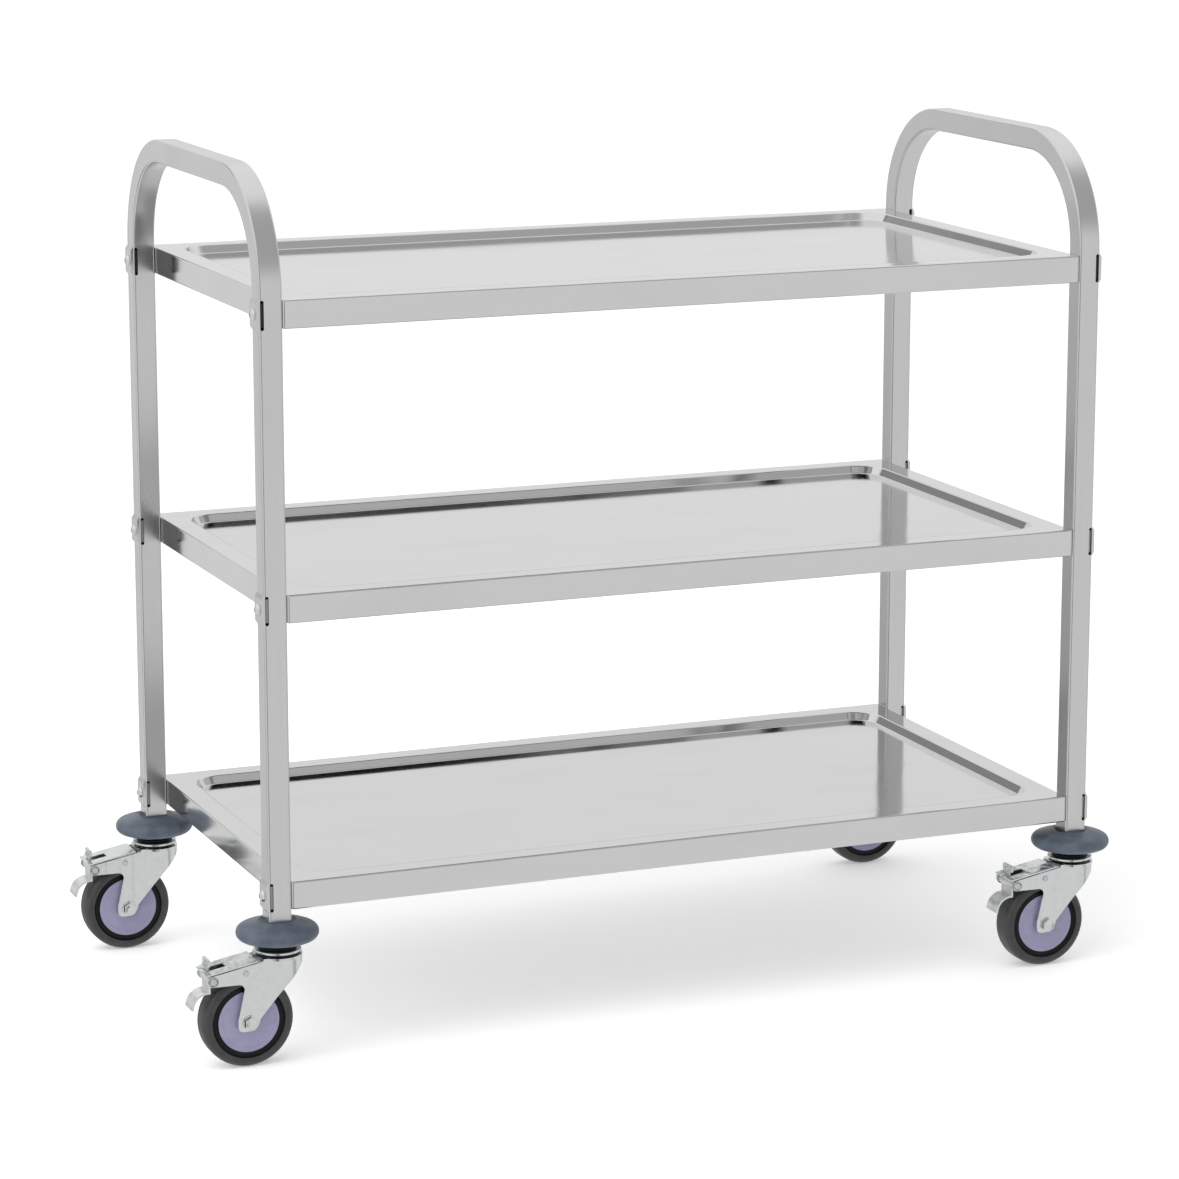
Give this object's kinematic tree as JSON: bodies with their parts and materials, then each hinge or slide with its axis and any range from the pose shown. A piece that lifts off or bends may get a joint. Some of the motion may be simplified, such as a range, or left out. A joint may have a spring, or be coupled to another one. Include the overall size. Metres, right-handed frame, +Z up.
{
  "type": "food service trolley",
  "caption": "Flat-pack stainless steel service trolley: pressed shelves with folded rims bolted between bent square-tube end frames with handle bows, on braked swivel casters with bumpers.",
  "frame": {"origin": "on the floor, under the middle of the whole trolley's box with all casters trailing towards -X", "axes": "+X along the trolley from the left end frame to the right one, +Y across it to the back, +Z up"},
  "size_m": [1.0874, 0.545, 0.94],
  "materials": {
    "stainless_tube": "satin polished",
    "stainless_sheet": "bright polished",
    "plated_fasteners": "bright",
    "spacer_grey": "cast, dull",
    "black_plastic": "moulded",
    "black_rubber": "smooth",
    "bearing_steel": "polished",
    "bumper_rubber": "smooth, slightly mottled",
    "machined_steel": "turned",
    "zinc_plate": "bright zinc plate",
    "pale_plate": "satin zinc plate",
    "hub_plastic": "moulded, fine grain",
    "tyre_rubber": "matt rubber"
  },
  "bodies": {
    "root": {"left_frame": "stainless_tube", "right_frame": "stainless_tube", "top_shelf": "stainless_sheet", "middle_shelf": "stainless_sheet", "lower_shelf": "stainless_sheet", "frame_bolts": "plated_fasteners", "shelf_nuts": "plated_fasteners", "joint_spacers": "spacer_grey", "stem_plugs": "black_plastic", "seal_rings": "black_rubber", "bearing_balls": "bearing_steel", "bumper_fl": "bumper_rubber", "stem_fl": "machined_steel", "cup_fl": "zinc_plate", "bumper_fr": "bumper_rubber", "stem_fr": "machined_steel", "cup_fr": "zinc_plate", "bumper_bl": "bumper_rubber", "stem_bl": "machined_steel", "cup_bl": "zinc_plate", "bumper_br": "bumper_rubber", "stem_br": "machined_steel", "cup_br": "zinc_plate"},
    "swivel_fl": {"fork_fl": "zinc_plate", "strip_fl": "zinc_plate", "pins_fl": "machined_steel", "axle_fl": "zinc_plate", "sleeve_fl": "machined_steel"},
    "wheel_fl": {"hub_fl": "hub_plastic", "tyre_fl": "tyre_rubber"},
    "brake_fl": {"pedal_fl": "pale_plate", "tab_fl": "pale_plate"},
    "swivel_fr": {"fork_fr": "zinc_plate", "strip_fr": "zinc_plate", "pins_fr": "machined_steel", "axle_fr": "zinc_plate", "sleeve_fr": "machined_steel"},
    "wheel_fr": {"hub_fr": "hub_plastic", "tyre_fr": "tyre_rubber"},
    "brake_fr": {"pedal_fr": "pale_plate", "tab_fr": "pale_plate"},
    "swivel_bl": {"fork_bl": "zinc_plate", "strip_bl": "zinc_plate", "pins_bl": "machined_steel", "axle_bl": "zinc_plate", "sleeve_bl": "machined_steel"},
    "wheel_bl": {"hub_bl": "hub_plastic", "tyre_bl": "tyre_rubber"},
    "brake_bl": {"pedal_bl": "pale_plate", "tab_bl": "pale_plate"},
    "swivel_br": {"fork_br": "zinc_plate", "strip_br": "zinc_plate", "pins_br": "machined_steel", "axle_br": "zinc_plate", "sleeve_br": "machined_steel"},
    "wheel_br": {"hub_br": "hub_plastic", "tyre_br": "tyre_rubber"},
    "brake_br": {"pedal_br": "pale_plate", "tab_br": "pale_plate"}
  },
  "joints": [
    {"name": "swivel_fl", "type": "hinge", "parent": "root", "child": "swivel_fl", "pos_m": [-0.44525, -0.2285, 0.118], "axis": [0, 0, 1], "continuous": true},
    {"name": "roll_fl", "type": "hinge", "parent": "swivel_fl", "child": "wheel_fl", "pos_m": [-0.48225, -0.2285, 0.05], "axis": [0, 1, 0], "continuous": true},
    {"name": "pedal_fl", "type": "hinge", "parent": "swivel_fl", "child": "brake_fl", "pos_m": [-0.52225, -0.2285, 0.0995], "axis": [0, 1, 0], "range_deg": [0, 20]},
    {"name": "swivel_fr", "type": "hinge", "parent": "root", "child": "swivel_fr", "pos_m": [0.49975, -0.2285, 0.118], "axis": [0, 0, 1], "continuous": true},
    {"name": "roll_fr", "type": "hinge", "parent": "swivel_fr", "child": "wheel_fr", "pos_m": [0.46275, -0.2285, 0.05], "axis": [0, 1, 0], "continuous": true},
    {"name": "pedal_fr", "type": "hinge", "parent": "swivel_fr", "child": "brake_fr", "pos_m": [0.42275, -0.2285, 0.0995], "axis": [0, 1, 0], "range_deg": [0, 20]},
    {"name": "swivel_bl", "type": "hinge", "parent": "root", "child": "swivel_bl", "pos_m": [-0.44525, 0.2285, 0.118], "axis": [0, 0, 1], "continuous": true},
    {"name": "roll_bl", "type": "hinge", "parent": "swivel_bl", "child": "wheel_bl", "pos_m": [-0.48225, 0.2285, 0.05], "axis": [0, 1, 0], "continuous": true},
    {"name": "pedal_bl", "type": "hinge", "parent": "swivel_bl", "child": "brake_bl", "pos_m": [-0.52225, 0.2285, 0.0995], "axis": [0, 1, 0], "range_deg": [0, 20]},
    {"name": "swivel_br", "type": "hinge", "parent": "root", "child": "swivel_br", "pos_m": [0.49975, 0.2285, 0.118], "axis": [0, 0, 1], "continuous": true},
    {"name": "roll_br", "type": "hinge", "parent": "swivel_br", "child": "wheel_br", "pos_m": [0.46275, 0.2285, 0.05], "axis": [0, 1, 0], "continuous": true},
    {"name": "pedal_br", "type": "hinge", "parent": "swivel_br", "child": "brake_br", "pos_m": [0.42275, 0.2285, 0.0995], "axis": [0, 1, 0], "range_deg": [0, 20]}
  ]
}
